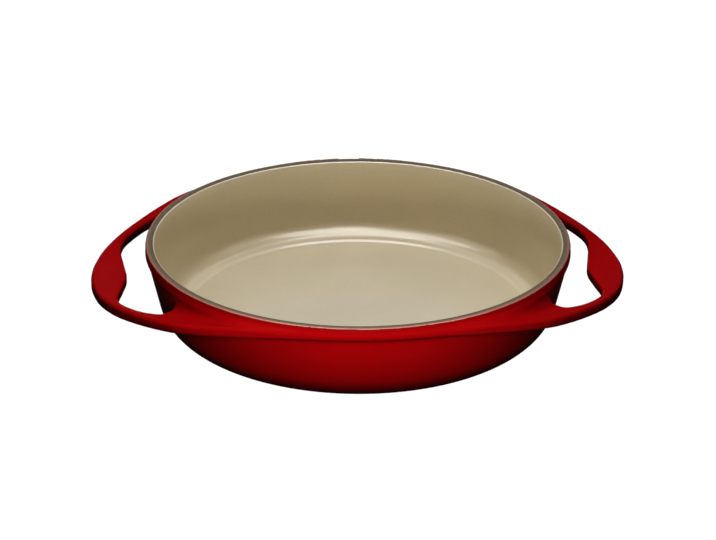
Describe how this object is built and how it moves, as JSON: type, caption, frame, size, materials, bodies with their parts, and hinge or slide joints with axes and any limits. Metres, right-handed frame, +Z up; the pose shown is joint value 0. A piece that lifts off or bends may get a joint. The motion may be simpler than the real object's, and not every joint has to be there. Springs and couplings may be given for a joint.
{
  "type": "tarte tatin pan",
  "caption": "Round enamelled cast-iron tatin pan with a flared bowl, a bare rim and drooping loop handles, for caramelising fruit on the hob and baking a tart upside down.",
  "frame": {"origin": "centre of the foot, on the surface that the pan stands on", "axes": "+Z up along the bowl's axis, +X through the middle of a handle, +Y towards the back flange"},
  "size_m": [0.3274, 0.2638, 0.0534],
  "materials": {
    "cast_iron": "as cast, hidden under the coats",
    "red_enamel": "gloss fired enamel, cherry red",
    "sand_enamel": "satin fired enamel, sand",
    "rim_ground_coat": "matt dark ground coat",
    "base_enamel": "fired enamel, darker on the underside"
  },
  "bodies": {
    "root": {"bowl_casting": "cast_iron", "handle_casting_left": "cast_iron", "handle_casting_right": "cast_iron", "exterior_enamel": "red_enamel", "interior_enamel": "sand_enamel", "rim_ground_coat": "rim_ground_coat", "base_enamel": "base_enamel"}
  },
  "joints": []
}
